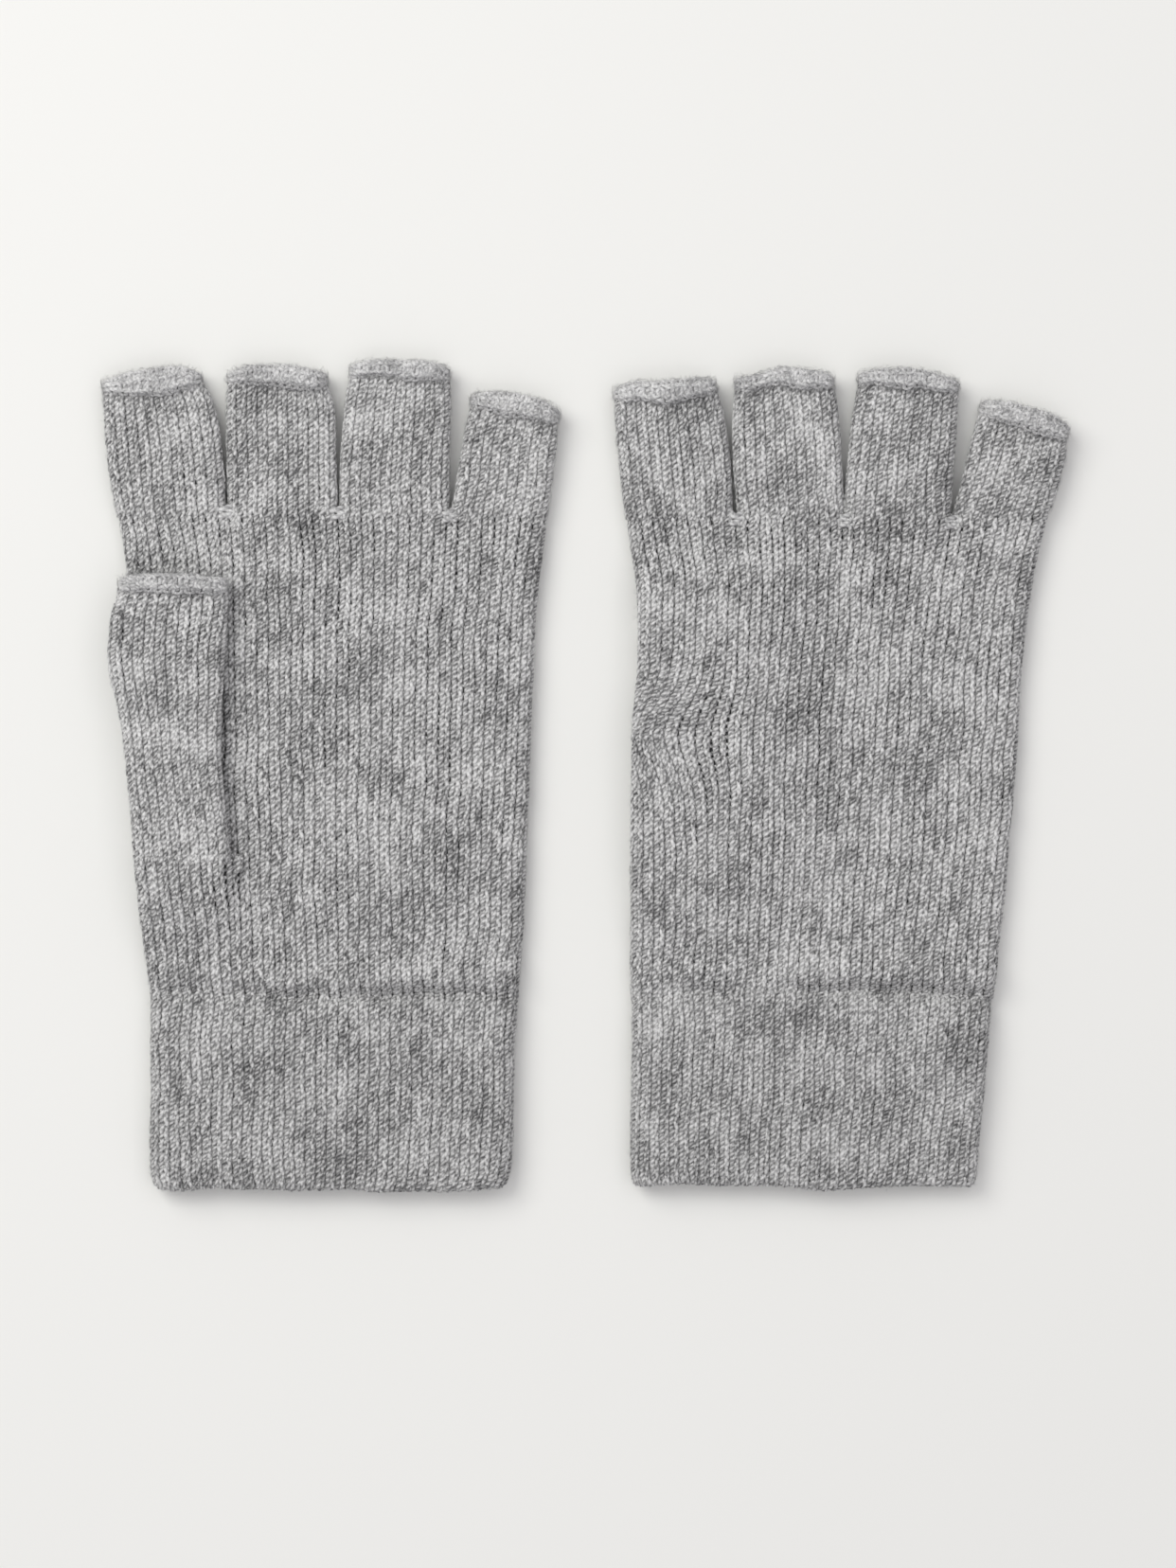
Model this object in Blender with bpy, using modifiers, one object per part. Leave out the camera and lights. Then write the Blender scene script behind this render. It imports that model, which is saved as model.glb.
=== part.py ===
"""A pair of machine-knitted fingerless gloves lying flat: the left one palm up with its thumb
laid over the palm, the right one palm down with its thumb tucked under the hand.

Frame: metres, +Z up, +Y from the cuffs to the fingertips, +X to the right.
The origin is the centre of the pair's footprint, on the surface that the gloves lie on.
Every knitted tube is a flattened shell with an open mouth, because a hand goes in.
"""

import math

import bmesh
import bpy
from mathutils import Vector

MM = 0.001
CENTRE = (0.185, 1.285, 0.0)  # middle of the footprint, in the outline's own millimetres

# ---------------------------------------------------------------- driving dimensions (mm)
WALL = 1.2  # one layer of the knit
GAP = 0.3  # clearance between neighbouring pieces
HAND_H = 7.8  # thickness of the hand tube, lying flat
CUFF_H = 9.8  # the cuff is two layers a side, so it is thicker
KNUCKLE_Y = {"left": 69.0, "right": 68.3}  # where the finger tubes leave the hand
WRIST_Y = -57.7  # top of the cuff
CUFF_END_Y = {"left": -109.2, "right": -108.6}
FACING_TOP_Y = -61.0  # where the turned-in layer of the cuff stops
SEAM_R = 0.65  # linking seam that holds the turned-in layer
EDGE_RY = 2.7  # rolled edge, half its width along the finger
EDGE_RZ = 1.2  # rolled edge, half its thickness
MOUTH_HALF = 2.15  # half the clear height of a finger mouth
TIP_HALF = 3.5  # half the outer thickness of a finger tube at its mouth
TIP_CZ = MOUTH_HALF + 2 * EDGE_RZ + 0.05  # height of a finger mouth's middle

THUMB_ROOT_Y = -21.0
THUMB_H = 7.4
THUMB_TIP_HALF = 3.7
GUSSET_START_Y = -38.0  # where the thumb gusset rises from the palm
THUMB_HOLE_Y = (-34.0, -24.0)  # the hole through the palm, along Y
THUMB_HOLE_HALF = 9.0  # half its width

# The right hand lies over its own thumb and is lifted by it.
LIFT = 8.3
LIFT_X = (46.0, 66.0)  # full lift up to the first, none beyond the second
LIFT_Y = (-52.0, -30.0, 46.5, 61.0)  # none, full, full, none
RIGHT_THUMB_RZ = 0.9

# Outline of each hand tube: (Y, left edge X, right edge X)
HAND = {
    "left": [
        (-57.7, -114.4, -17.9), (-45.0, -115.9, -17.1), (-34.0, -117.5, -16.3),
        (-24.0, -118.9, -15.8), (-15.0, -119.8, -15.5), (-7.0, -120.3, -15.3), (6.0, -121.1, -15.0),
        (18.0, -121.7, -14.4), (30.0, -122.2, -13.8), (43.0, -122.6, -13.1),
        (56.0, -123.5, -12.3), (69.0, -125.3, -11.0),
    ],
    "right": [
        (-57.7, 11.4, 107.8), (-52.0, 11.1, 108.5), (-47.5, 11.0, 109.1), (-43.0, 10.9, 109.6),
        (-38.5, 10.9, 110.1), (-34.0, 11.0, 110.6), (-30.0, 11.0, 111.0), (-24.0, 11.1, 111.6),
        (-15.0, 11.2, 112.2),
        (-7.0, 11.3, 112.9), (6.0, 11.4, 113.9), (18.0, 11.9, 114.6),
        (31.0, 12.3, 115.4), (46.5, 12.4, 116.8), (50.5, 12.1, 117.3),
        (55.5, 11.6, 118.1), (61.0, 10.7, 119.2), (68.3, 9.6, 120.5),
    ],
}
CUFF = {
    "left": [(-58.0, -114.4, -17.9), (-70.0, -114.6, -18.1), (-83.0, -115.0, -18.1),
             (-96.0, -115.2, -17.9), (-105.0, -114.8, -18.3), (-109.2, -113.8, -19.2)],
    "right": [(-58.0, 11.5, 107.7), (-70.0, 11.5, 106.5), (-83.0, 11.3, 105.3),
              (-96.0, 10.9, 104.2), (-105.0, 11.2, 103.7), (-108.6, 12.2, 102.9)],
}
# Finger tubes: root centre X and half width, mouth centre X, Y, half width and turn in degrees
FINGER = {
    "left": {
        "index": (-110.45, 14.6, -113.7, 103.4, 14.5, 5.0),
        "middle": (-81.05, 14.35, -81.2, 104.3, 14.2, 1.0),
        "ring": (-51.85, 14.35, -49.4, 105.6, 13.5, -2.0),
        "little": (-24.2, 12.85, -18.7, 95.6, 12.1, -12.0),
    },
    "right": {
        "index": (24.3, 14.5, 21.9, 99.2, 14.2, 7.0),
        "middle": (53.7, 14.35, 53.0, 102.2, 13.5, 1.0),
        "ring": (82.1, 13.75, 85.2, 101.6, 13.6, -2.5),
        "little": (108.3, 12.0, 116.2, 91.2, 12.1, -14.0),
    },
}
# Thumb tubes: stations of (Y, centre X, half width)
THUMB = {
    "left": [(-21.0, -106.6, 13.0), (-7.0, -108.0, 12.9), (6.0, -109.2, 13.1),
             (18.0, -110.2, 14.3), (30.0, -110.6, 15.6), (40.0, -110.0, 15.6), (48.6, -109.0, 15.3)],
    "right": [(-21.0, 27.0, 13.0), (-7.0, 27.5, 13.0), (6.0, 28.0, 13.2),
              (18.0, 28.2, 13.6), (30.0, 28.2, 14.0), (40.0, 28.1, 14.0)],
}
# Closing stitches between the finger roots: (X, Y) on the side that faces up
STITCH = {
    "left": {"index_middle": (-95.8, 66.6), "middle_ring": (-66.45, 66.6), "ring_little": (-37.3, 66.4)},
    "right": {"index_middle": (39.1, 65.9), "middle_ring": (68.2, 65.9), "ring_little": (96.1, 65.7)},
}
FOLD_DEG = {"finger": 90, "thumb": 90, "wrist": 60}  # how far each knitted tube folds

ARC, FLAT = 5, 8  # facets of a rounded side, and of a flat side


# ---------------------------------------------------------------- scene
def clear():
    for obj in list(bpy.data.objects):
        bpy.data.objects.remove(obj)
    old = bpy.data.collections.get("Fingerless gloves")
    if old:
        bpy.data.collections.remove(old)


def collection(name):
    made = bpy.data.collections.new(name)
    bpy.context.scene.collection.children.link(made)
    return made


def knit(name, colour, roughness):
    mat = bpy.data.materials.new(name)
    mat.use_nodes = True
    shader = mat.node_tree.nodes["Principled BSDF"]
    shader.inputs["Base Color"].default_value = (*colour, 1)
    shader.inputs["Roughness"].default_value = roughness
    shader.inputs["Metallic"].default_value = 0.0
    mat.diffuse_color = (*colour, 1)
    return mat


def world(point):
    """A point of the outline, in mm, as a place in the scene, in metres."""
    return (Vector(point) - Vector(CENTRE)) * MM


def place_of(parent):
    """Where an empty sits in the world: nothing here is turned, so locations add up."""
    total = Vector()
    while parent is not None:
        total += parent.location
        parent = parent.parent
    return total


def smooth(t):
    t = min(1.0, max(0.0, t))
    return t * t * (3 - 2 * t)


def lift_at(side, x, y):
    """How far the right hand is raised by the thumb under it, in mm."""
    if side == "left":
        return 0.0
    across = 1 - smooth((x - LIFT_X[0]) / (LIFT_X[1] - LIFT_X[0]))
    y0, y1, y2, y3 = LIFT_Y
    along = smooth((y - y0) / (y1 - y0)) * (1 - smooth((y - y2) / (y3 - y2)))
    return LIFT * across * along


# ---------------------------------------------------------------- sections
def stadium(half_w, half_h, flat=FLAT):
    """A flattened loop in (x, z), anticlockwise from the lower right, with round sides."""
    r = half_h
    run = half_w - r
    loop = [(run + r * math.cos(a), r * math.sin(a))
            for a in (math.radians(-90 + 180 * i / ARC) for i in range(ARC + 1))]
    loop += [(run - 2 * run * i / flat, r) for i in range(1, flat)]
    loop += [(-run + r * math.cos(a), r * math.sin(a))
             for a in (math.radians(90 + 180 * i / ARC) for i in range(ARC + 1))]
    loop += [(-run + 2 * run * i / flat, -r) for i in range(1, flat)]
    return loop


def arch(half_w, height, flat=4, arc=3):
    """An open arch in (x, z) from the left foot over to the right foot."""
    r = min(height * 0.75, half_w * 0.6)
    run = half_w - r
    loop = [(-run + r * math.cos(a), height - r + r * math.sin(a))
            for a in (math.radians(180 - 90 * i / arc) for i in range(arc + 1))]
    loop += [(-run + 2 * run * i / flat, height) for i in range(1, flat)]
    loop += [(run + r * math.cos(a), height - r + r * math.sin(a))
             for a in (math.radians(90 - 90 * i / arc) for i in range(arc + 1))]
    return [(-half_w, 0.0)] + loop + [(half_w, 0.0)]


def between(stations, y):
    """The two edges at a height Y, read along a list of stations."""
    rows = sorted(stations)
    if y <= rows[0][0]:
        return rows[0][1:]
    for a, b in zip(rows, rows[1:]):
        if y <= b[0]:
            t = (y - a[0]) / (b[0] - a[0])
            return tuple(p + (q - p) * t for p, q in zip(a[1:], b[1:]))
    return rows[-1][1:]


# ---------------------------------------------------------------- builders
def outward(bm):
    """Turns an open tube's faces away from its middle line."""
    bmesh.ops.recalc_face_normals(bm, faces=bm.faces)
    centre = sum((v.co for v in bm.verts), Vector()) / len(bm.verts)
    total = sum((f.normal.dot(f.calc_center_median() - centre) * f.calc_area() for f in bm.faces))
    if total < 0:
        bmesh.ops.reverse_faces(bm, faces=bm.faces)


def tube(name, place, rows, n, coll, mat, pivot=(0, 0, 0), parent=None, thickness=WALL, hole=None):
    """An open flattened tube: a cylinder with no caps, cut into rows and pulled onto place(row, k).

    hole(centre) says which of the sheet's cells are left out."""
    bm = bmesh.new()
    bmesh.ops.create_cone(bm, cap_ends=False, segments=n, radius1=1, radius2=1, depth=1)
    long_edges = [e for e in bm.edges if abs(e.verts[0].co.z - e.verts[1].co.z) > 0.5]
    if rows > 2:
        bmesh.ops.subdivide_edges(bm, edges=long_edges, cuts=rows - 2, use_grid_fill=True)
    bm.verts.ensure_lookup_table()
    first = math.atan2(bm.verts[0].co.y, bm.verts[0].co.x)
    for v in bm.verts:
        k = round((math.atan2(v.co.y, v.co.x) - first) / (2 * math.pi / n)) % n
        j = round((v.co.z + 0.5) * (rows - 1))
        v.co = place(j, k)
    outward(bm)
    if hole:
        cells = [f for f in bm.faces if hole(f.calc_center_median())]
        bmesh.ops.delete(bm, geom=cells, context="FACES")
    shift = Vector(pivot)
    for v in bm.verts:
        v.co = (v.co - shift) * MM
    mesh = bpy.data.meshes.new(name)
    bm.to_mesh(mesh)
    bm.free()
    mesh.materials.append(mat)
    obj = bpy.data.objects.new(name, mesh)
    coll.objects.link(obj)
    obj.parent = parent
    obj.location = world(pivot) - place_of(parent)
    shell = obj.modifiers.new("Knit", "SOLIDIFY")
    shell.thickness = thickness * MM
    shell.offset = -1
    shell.use_even_offset = True
    shell.use_rim = True
    mesh.shade_smooth()
    mesh.set_sharp_from_angle(angle=math.radians(40))
    return obj


def ring(name, path, frame, r_out, r_along, coll, mat, pivot, parent, minor=8):
    """A rolled or linked edge: a torus pulled onto a flattened path, its section an ellipse."""
    n = len(path)
    bpy.ops.mesh.primitive_torus_add(major_segments=n, minor_segments=minor,
                                     major_radius=1.0, minor_radius=0.25)
    obj = bpy.context.active_object
    obj.name = obj.data.name = name
    for c in list(obj.users_collection):
        c.objects.unlink(obj)
    coll.objects.link(obj)
    obj.location = (0, 0, 0)
    for v in obj.data.vertices:
        k = round(math.atan2(v.co.y, v.co.x) / (2 * math.pi / n)) % n
        away = math.hypot(v.co.x, v.co.y) - 1.0
        beta = math.atan2(v.co.z, away)
        px, pz = path[k]
        ax, az = path[(k - 1) % n]
        bx, bz = path[(k + 1) % n]
        nx, nz = bz - az, -(bx - ax)  # outward for an anticlockwise path
        size = math.hypot(nx, nz)
        nx, nz = nx / size, nz / size
        out = r_out * math.cos(beta)
        v.co = (frame(px + nx * out, r_along * math.sin(beta), pz + nz * out) - Vector(pivot)) * MM
    bm = bmesh.new()
    bm.from_mesh(obj.data)
    bmesh.ops.recalc_face_normals(bm, faces=bm.faces)
    bm.to_mesh(obj.data)
    bm.free()
    obj.data.materials.append(mat)
    obj.parent = parent
    obj.location = world(pivot) - place_of(parent)
    obj.data.shade_smooth()
    return obj


def empty(name, place, coll, parent=None):
    made = bpy.data.objects.new(name, None)
    made.empty_display_size = 0.01
    coll.objects.link(made)
    made.parent = parent
    made.location = world(place) - place_of(parent)
    return made


# ---------------------------------------------------------------- one glove
def glove(side, coll, mats):
    s = side + "_"
    ky = KNUCKLE_Y[side]
    top = empty(s + "glove", (0, 0, 0), coll)

    # --- cuff: outer layer, turned-in layer and the seam that links them
    def cuff_place(stations, inset, height):
        n = len(stadium(10, 3))

        def place(j, k):
            y, xl, xr = stations[j]
            cx, half = (xl + xr) / 2, (xr - xl) / 2 - inset
            loop = stadium(half, height / 2)
            x, z = loop[k]
            return Vector((cx + x, y, CUFF_H / 2 + z))

        return place, n

    outer_rows = CUFF[side]
    place, n = cuff_place(outer_rows, 0.0, CUFF_H)
    tube(s + "cuff_outer", place, len(outer_rows), n, coll, mats["cuff"], parent=top)
    inset = WALL + GAP
    end_y = outer_rows[-1][0]
    rows = [(y, *between(outer_rows, y)) for y in (FACING_TOP_Y, -72.0, -84.0, -96.0, end_y)]
    place, n = cuff_place(rows, inset, CUFF_H - 2 * inset)
    tube(s + "cuff_facing", place, len(rows), n, coll, mats["inside"], parent=top)
    seam_y = (FACING_TOP_Y + WRIST_Y) / 2
    xl, xr = between(outer_rows, seam_y)
    seam_in = WALL + GAP + SEAM_R
    path = stadium((xr - xl) / 2 - seam_in, CUFF_H / 2 - seam_in)
    cx = (xl + xr) / 2
    ring(s + "cuff_seam", path, lambda x, a, z: Vector((cx + x, seam_y + a, CUFF_H / 2 + z)),
         SEAM_R, SEAM_R, coll, mats["seam"], (0, 0, 0), top, minor=6)

    # --- hand tube, on the wrist fold
    wrist = empty(s + "wrist_fold", (0, WRIST_Y - GAP / 2, CUFF_H), coll, top)
    stations = HAND[side]

    def hand_height(y):
        return HAND_H + (CUFF_H - HAND_H) * (1 - smooth((y - WRIST_Y) / 14.0))

    def hand_place(j, k):
        y, xl, xr = stations[j]
        cx, half, h = (xl + xr) / 2, (xr - xl) / 2, hand_height(y)
        x, z = stadium(half, h / 2, flat=16)[k]
        return Vector((cx + x, y, h / 2 + z + lift_at(side, cx + x, y)))

    # the thumb hole is in the palm layer, which faces up on the left and down on the right
    thumb_x = between([(y, cx) for y, cx, _ in THUMB[side]], sum(THUMB_HOLE_Y) / 2)[0]

    def in_thumb_hole(c):
        palm = (c.z > CUFF_H / 2) if side == "left" else (c.z < lift_at(side, c.x, c.y) + HAND_H / 2)
        return palm and THUMB_HOLE_Y[0] < c.y < THUMB_HOLE_Y[1] and abs(c.x - thumb_x) < THUMB_HOLE_HALF

    wp = (0, WRIST_Y - GAP / 2, CUFF_H)
    tube(s + "hand_tube", hand_place, len(stations), len(stadium(10, 3, flat=16)),
         coll, mats["knit"], wp, wrist, hole=in_thumb_hole)

    # --- closing stitches at the finger roots: a flat loop of yarn on the upper side
    for label, (x, y) in STITCH[side].items():
        path = stadium(2.3, 1.0, flat=4)
        ring(s + "stitch_" + label, path,
             lambda a, h, b, x=x, y=y: Vector((x + a, y + b, HAND_H + 0.35 + 0.5 + h)),
             0.5, 0.5, coll, mats["seam"], wp, wrist, minor=6)

    # --- fingers
    for finger, (rx, rw, tx, ty, tw, turn) in FINGER[side].items():
        root_y = ky + GAP
        pivot = (rx, ky + GAP / 2, HAND_H)
        fold = empty(s + finger + "_fold", pivot, coll, wrist)
        phi = math.radians(turn)
        rows = 7

        def frame_at(t, rx=rx, tx=tx, ty=ty, phi=phi, root_y=root_y):
            e = smooth(t)
            cx = rx + (tx - rx) * t
            cy = root_y + (ty - root_y) * t
            cz = HAND_H / 2 + (TIP_CZ - HAND_H / 2) * e
            return cx, cy, cz, phi * t

        def finger_place(j, k, rw=rw, tw=tw, frame_at=frame_at):
            t = j / (rows - 1)
            cx, cy, cz, a = frame_at(t)
            half = rw + (tw - rw) * t
            h = HAND_H / 2 + (TIP_HALF - HAND_H / 2) * smooth(t)
            x, z = stadium(half, h, flat=6)[k]
            return Vector((cx + x * math.cos(a), cy + x * math.sin(a), cz + z))

        tube(s + finger + "_finger", finger_place, rows, len(stadium(10, 3, flat=6)),
             coll, mats["knit"], pivot, fold)
        path = stadium(tw + 0.1, MOUTH_HALF + EDGE_RZ, flat=6)

        def edge_frame(x, along, z, tx=tx, ty=ty, phi=phi):
            up = GAP + EDGE_RY + along
            return Vector((tx + x * math.cos(phi) - up * math.sin(phi),
                           ty + x * math.sin(phi) + up * math.cos(phi), TIP_CZ + z))

        ring(s + finger + "_edge", path, edge_frame, EDGE_RZ, EDGE_RY, coll, mats["edge"], pivot, fold)

    # --- thumb gusset: a hood over the thumb hole, open towards the thumb and the hand
    up = side == "left"
    n_rows = 6
    base_in = GAP

    def gusset_place(j, k):
        t = j / (n_rows - 1)
        y = GUSSET_START_Y + (THUMB_ROOT_Y - GAP - GUSSET_START_Y) * t
        cx, half = between(THUMB[side], THUMB_ROOT_Y)
        half = half - 1.5 * (1 - t)
        rise = 0.45 + 0.55 * math.sin(t * math.pi / 2)
        if up:
            height = THUMB_H * rise
            x, z = arch(half, height)[k]
            return Vector((cx + x, y, HAND_H + base_in + z))
        base = lift_at(side, LIFT_X[0], y) - base_in
        height = max(base - 0.02, 1.25)
        x, z = arch(half, height)[k]
        return Vector((cx + x, y, max(base, 1.27) - z))

    width = len(arch(10, 3))
    bm = bmesh.new()
    bmesh.ops.create_grid(bm, x_segments=width - 1, y_segments=n_rows - 1, size=0.5)
    for v in bm.verts:
        k = round((v.co.x + 0.5) * (width - 1))
        j = round((v.co.y + 0.5) * (n_rows - 1))
        v.co = gusset_place(j, k)
    bmesh.ops.recalc_face_normals(bm, faces=bm.faces)
    middle = sum((f.normal.z * f.calc_area() for f in bm.faces))
    if (middle < 0) == up:
        bmesh.ops.reverse_faces(bm, faces=bm.faces)
    for v in bm.verts:
        v.co = (v.co - Vector(wp)) * MM
    mesh = bpy.data.meshes.new(s + "thumb_gusset")
    bm.to_mesh(mesh)
    bm.free()
    mesh.materials.append(mats["knit"])
    gusset = bpy.data.objects.new(s + "thumb_gusset", mesh)
    coll.objects.link(gusset)
    gusset.parent = wrist
    gusset.location = world(wp) - place_of(wrist)
    shell = gusset.modifiers.new("Knit", "SOLIDIFY")
    shell.thickness = WALL * MM
    shell.offset = -1
    shell.use_even_offset = True
    mesh.shade_smooth()

    # --- thumb tube and its rolled edge
    rows = THUMB[side]
    rz = EDGE_RZ if up else RIGHT_THUMB_RZ
    tip_half = THUMB_TIP_HALF if up else THUMB_TIP_HALF - 0.1
    root_cz = (HAND_H + GAP + THUMB_H / 2) if up else THUMB_H / 2
    tip_cz = (HAND_H + GAP + MOUTH_HALF + 2 * rz) if up else (MOUTH_HALF + 2 * rz + 0.05)
    pivot = (rows[0][1], THUMB_ROOT_Y - GAP / 2, HAND_H + GAP + THUMB_H if up else 0.0)
    fold = empty(s + "thumb_fold", pivot, coll, wrist)
    y0, y1 = rows[0][0], rows[-1][0]

    def thumb_place(j, k):
        y, cx, half = rows[j]
        t = (y - y0) / (y1 - y0)
        e = smooth(t)
        h = THUMB_H / 2 + (tip_half - THUMB_H / 2) * e
        cz = root_cz + (tip_cz - root_cz) * e
        x, z = stadium(half, h, flat=6)[k]
        return Vector((cx + x, y, cz + z))

    tube(s + "thumb_tube", thumb_place, len(rows), len(stadium(10, 3, flat=6)),
         coll, mats["knit"], pivot, fold)
    _, tcx, thalf = rows[-1]
    path = stadium(thalf + 0.1, MOUTH_HALF + rz, flat=6)
    ring(s + "thumb_edge", path,
         lambda x, a, z: Vector((tcx + x, y1 + GAP + EDGE_RY + a, tip_cz + z)),
         rz, EDGE_RY, coll, mats["edge"], pivot, fold)

    # closing stitch at the thumb's crotch, on the palm beside the gusset
    cx, half = between(THUMB[side], THUMB_ROOT_Y)
    x = cx + half + 2.6
    level = HAND_H + 0.85 if up else lift_at(side, LIFT_X[0], THUMB_ROOT_Y - 2.0) - 0.95
    ring(s + "stitch_thumb", stadium(2.4, 1.0, flat=4),
         lambda a, h, b: Vector((x + b, THUMB_ROOT_Y - 1.5 + a, level + h)),
         0.5, 0.5, coll, mats["seam"], wp, wrist, minor=6)


def main():
    clear()
    coll = collection("Fingerless gloves")
    mats = {
        "knit": knit("Grey marl knit", (0.40, 0.40, 0.405), 0.95),
        "cuff": knit("Grey marl cuff", (0.38, 0.38, 0.385), 0.95),
        "inside": knit("Grey marl inside", (0.30, 0.30, 0.305), 0.95),
        "edge": knit("Grey marl rolled edge", (0.50, 0.50, 0.50), 0.97),
        "seam": knit("Grey marl seam yarn", (0.52, 0.52, 0.525), 0.95),
    }
    for side in ("left", "right"):
        glove(side, coll, mats)


main()
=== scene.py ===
"""The looks of the fingerless gloves: real yarn loops laid on soft flattened tubes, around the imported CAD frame."""
import math

import bpy
import numpy as np
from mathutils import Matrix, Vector

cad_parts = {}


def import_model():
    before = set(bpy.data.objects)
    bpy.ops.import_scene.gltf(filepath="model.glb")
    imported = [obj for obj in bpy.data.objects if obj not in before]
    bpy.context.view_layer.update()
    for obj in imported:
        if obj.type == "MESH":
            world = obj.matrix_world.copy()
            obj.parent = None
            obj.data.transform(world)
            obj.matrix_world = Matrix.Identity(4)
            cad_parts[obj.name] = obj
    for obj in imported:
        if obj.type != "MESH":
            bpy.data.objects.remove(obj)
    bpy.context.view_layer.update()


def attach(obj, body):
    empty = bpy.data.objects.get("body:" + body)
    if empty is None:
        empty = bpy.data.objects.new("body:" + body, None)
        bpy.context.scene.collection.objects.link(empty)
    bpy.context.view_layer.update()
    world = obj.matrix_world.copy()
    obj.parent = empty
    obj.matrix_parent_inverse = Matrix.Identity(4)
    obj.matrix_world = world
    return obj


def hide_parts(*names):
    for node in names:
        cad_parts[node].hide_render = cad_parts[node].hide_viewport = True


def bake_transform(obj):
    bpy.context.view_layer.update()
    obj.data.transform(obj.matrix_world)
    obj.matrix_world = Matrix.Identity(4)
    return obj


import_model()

MM = 0.001
CENTRE = np.array([0.185, 1.285, 0.0])  # middle of the footprint, as in the CAD source

# ---------------------------------------------------------------- outline of the gloves, mm (as in the CAD source)
HAND_H, CUFF_H = 7.8, 9.8
KNUCKLE_Y = {"left": 69.0, "right": 68.3}
WRIST_Y = -57.7
CUFF_END_Y = {"left": -109.2, "right": -108.6}
THUMB_ROOT_Y = -21.0
HAND = {
    "left": [(-57.7, -114.9, -17.9), (-45.0, -116.8, -17.1), (-34.0, -118.0, -16.3), (-24.0, -118.8, -15.8),
             (-15.0, -119.2, -15.5), (-7.0, -119.5, -15.3), (6.0, -119.9, -15.0), (18.0, -120.3, -14.4),
             (30.0, -120.7, -13.8), (43.0, -120.9, -13.1), (56.0, -121.6, -12.0), (65.0, -122.9, -10.9),
             (69.0, -124.2, -10.4)],
    "right": [(-57.7, 12.3, 107.8), (-43.0, 11.9, 109.6), (-30.0, 12.1, 111.0), (-15.0, 11.7, 112.2),
              (-7.0, 11.8, 113.0), (6.0, 12.1, 114.0), (18.0, 12.7, 114.7), (31.0, 13.7, 115.6),
              (46.5, 13.8, 117.4), (55.5, 13.1, 118.9), (61.0, 12.2, 120.1), (68.3, 10.9, 122.1)],
}
CUFF = {
    "left": [(-109.2, -113.6, -21.4), (-105.0, -114.8, -19.8), (-96.0, -115.2, -19.2), (-83.0, -115.0, -19.0),
             (-70.0, -114.9, -18.6), (-57.7, -114.9, -17.9)],
    "right": [(-108.6, 12.5, 102.7), (-105.0, 11.7, 103.7), (-96.0, 11.7, 104.2), (-83.0, 12.3, 105.3),
              (-70.0, 12.5, 106.5), (-57.7, 12.3, 107.7)],
}
FINGER = {
    "left": {"index": (-110.0, 14.35, -113.8, 102.7, 14.4, 5.0), "middle": (-80.2, 14.5, -81.1, 103.5, 14.0, 1.0),
             "ring": (-50.7, 14.5, -49.2, 104.6, 13.6, -2.0), "little": (-22.9, 12.75, -18.9, 95.4, 12.2, -12.0)},
    "right": {"index": (25.1, 14.4, 21.8, 99.5, 14.3, 7.0), "middle": (54.2, 14.1, 52.7, 101.8, 13.6, 1.0),
              "ring": (82.5, 14.0, 85.3, 101.6, 13.6, -2.5), "little": (109.5, 12.7, 115.9, 92.2, 12.4, -15.0)},
}
# how far the middle of each finger stands off the straight line: (sideways, wider)
BULGE = {"left": {"index": (0.45, 0.75), "middle": (0.2, 0.25), "ring": (-0.35, 0.25), "little": (0.0, 0.1)},
         "right": {"index": (0.0, 0.15), "middle": (0.0, 0.45), "ring": (-0.5, 0.15), "little": (0.3, 0.1)}}
THUMB = {
    "left": [(-21.0, -106.3, 12.7), (-7.0, -107.5, 12.4), (6.0, -108.6, 12.5), (18.0, -109.5, 13.6),
             (30.0, -110.4, 15.4), (40.0, -109.9, 15.5), (48.6, -109.0, 15.3)],
    "right": [(-21.0, 27.0, 13.0), (-7.0, 27.5, 13.0), (6.0, 28.0, 13.2), (18.0, 28.2, 13.6), (30.0, 28.2, 14.0),
              (40.0, 28.1, 14.0)],
}
STITCH = {
    "left": {"index_middle": (-95.3, 70.9), "middle_ring": (-65.5, 70.5), "ring_little": (-36.0, 69.9)},
    "right": {"index_middle": (39.8, 69.0), "middle_ring": (68.4, 68.5), "ring_little": (96.6, 68.0)},
}
# how far the left and right corners of each finger are drawn in at its tip
CORNER = {"left": {"index": (0.2, 2.8), "middle": (0.4, 1.5), "ring": (0.2, 0.5), "little": (0.0, 0.6), "thumb": (1.4, 0.2)},
          "right": {"index": (0.2, 1.2), "middle": (0.3, 0.5), "ring": (0.3, 0.3), "little": (0.0, 0.8),
                    "thumb": (0.3, 0.3)}}
# the curled edges: where each is thickest (-1 left to 1 right), its thickness there and at its ends, and its bow
CURL = {
    "left": {"index": (0.10, 7.4, 2.6, 3.0), "middle": (0.35, 5.8, 3.0, 2.4), "ring": (0.35, 4.8, 3.2, 1.6),
             "little": (0.30, 6.2, 3.0, 2.6), "thumb": (0.20, 5.4, 3.4, 1.8)},
    "right": {"index": (0.05, 5.8, 2.8, 1.4), "middle": (0.30, 5.0, 2.9, 1.8), "ring": (0.15, 5.4, 2.9, 1.8),
              "little": (0.30, 6.2, 3.1, 2.4), "thumb": (0.20, 5.0, 3.2, 1.8)},
}
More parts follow.
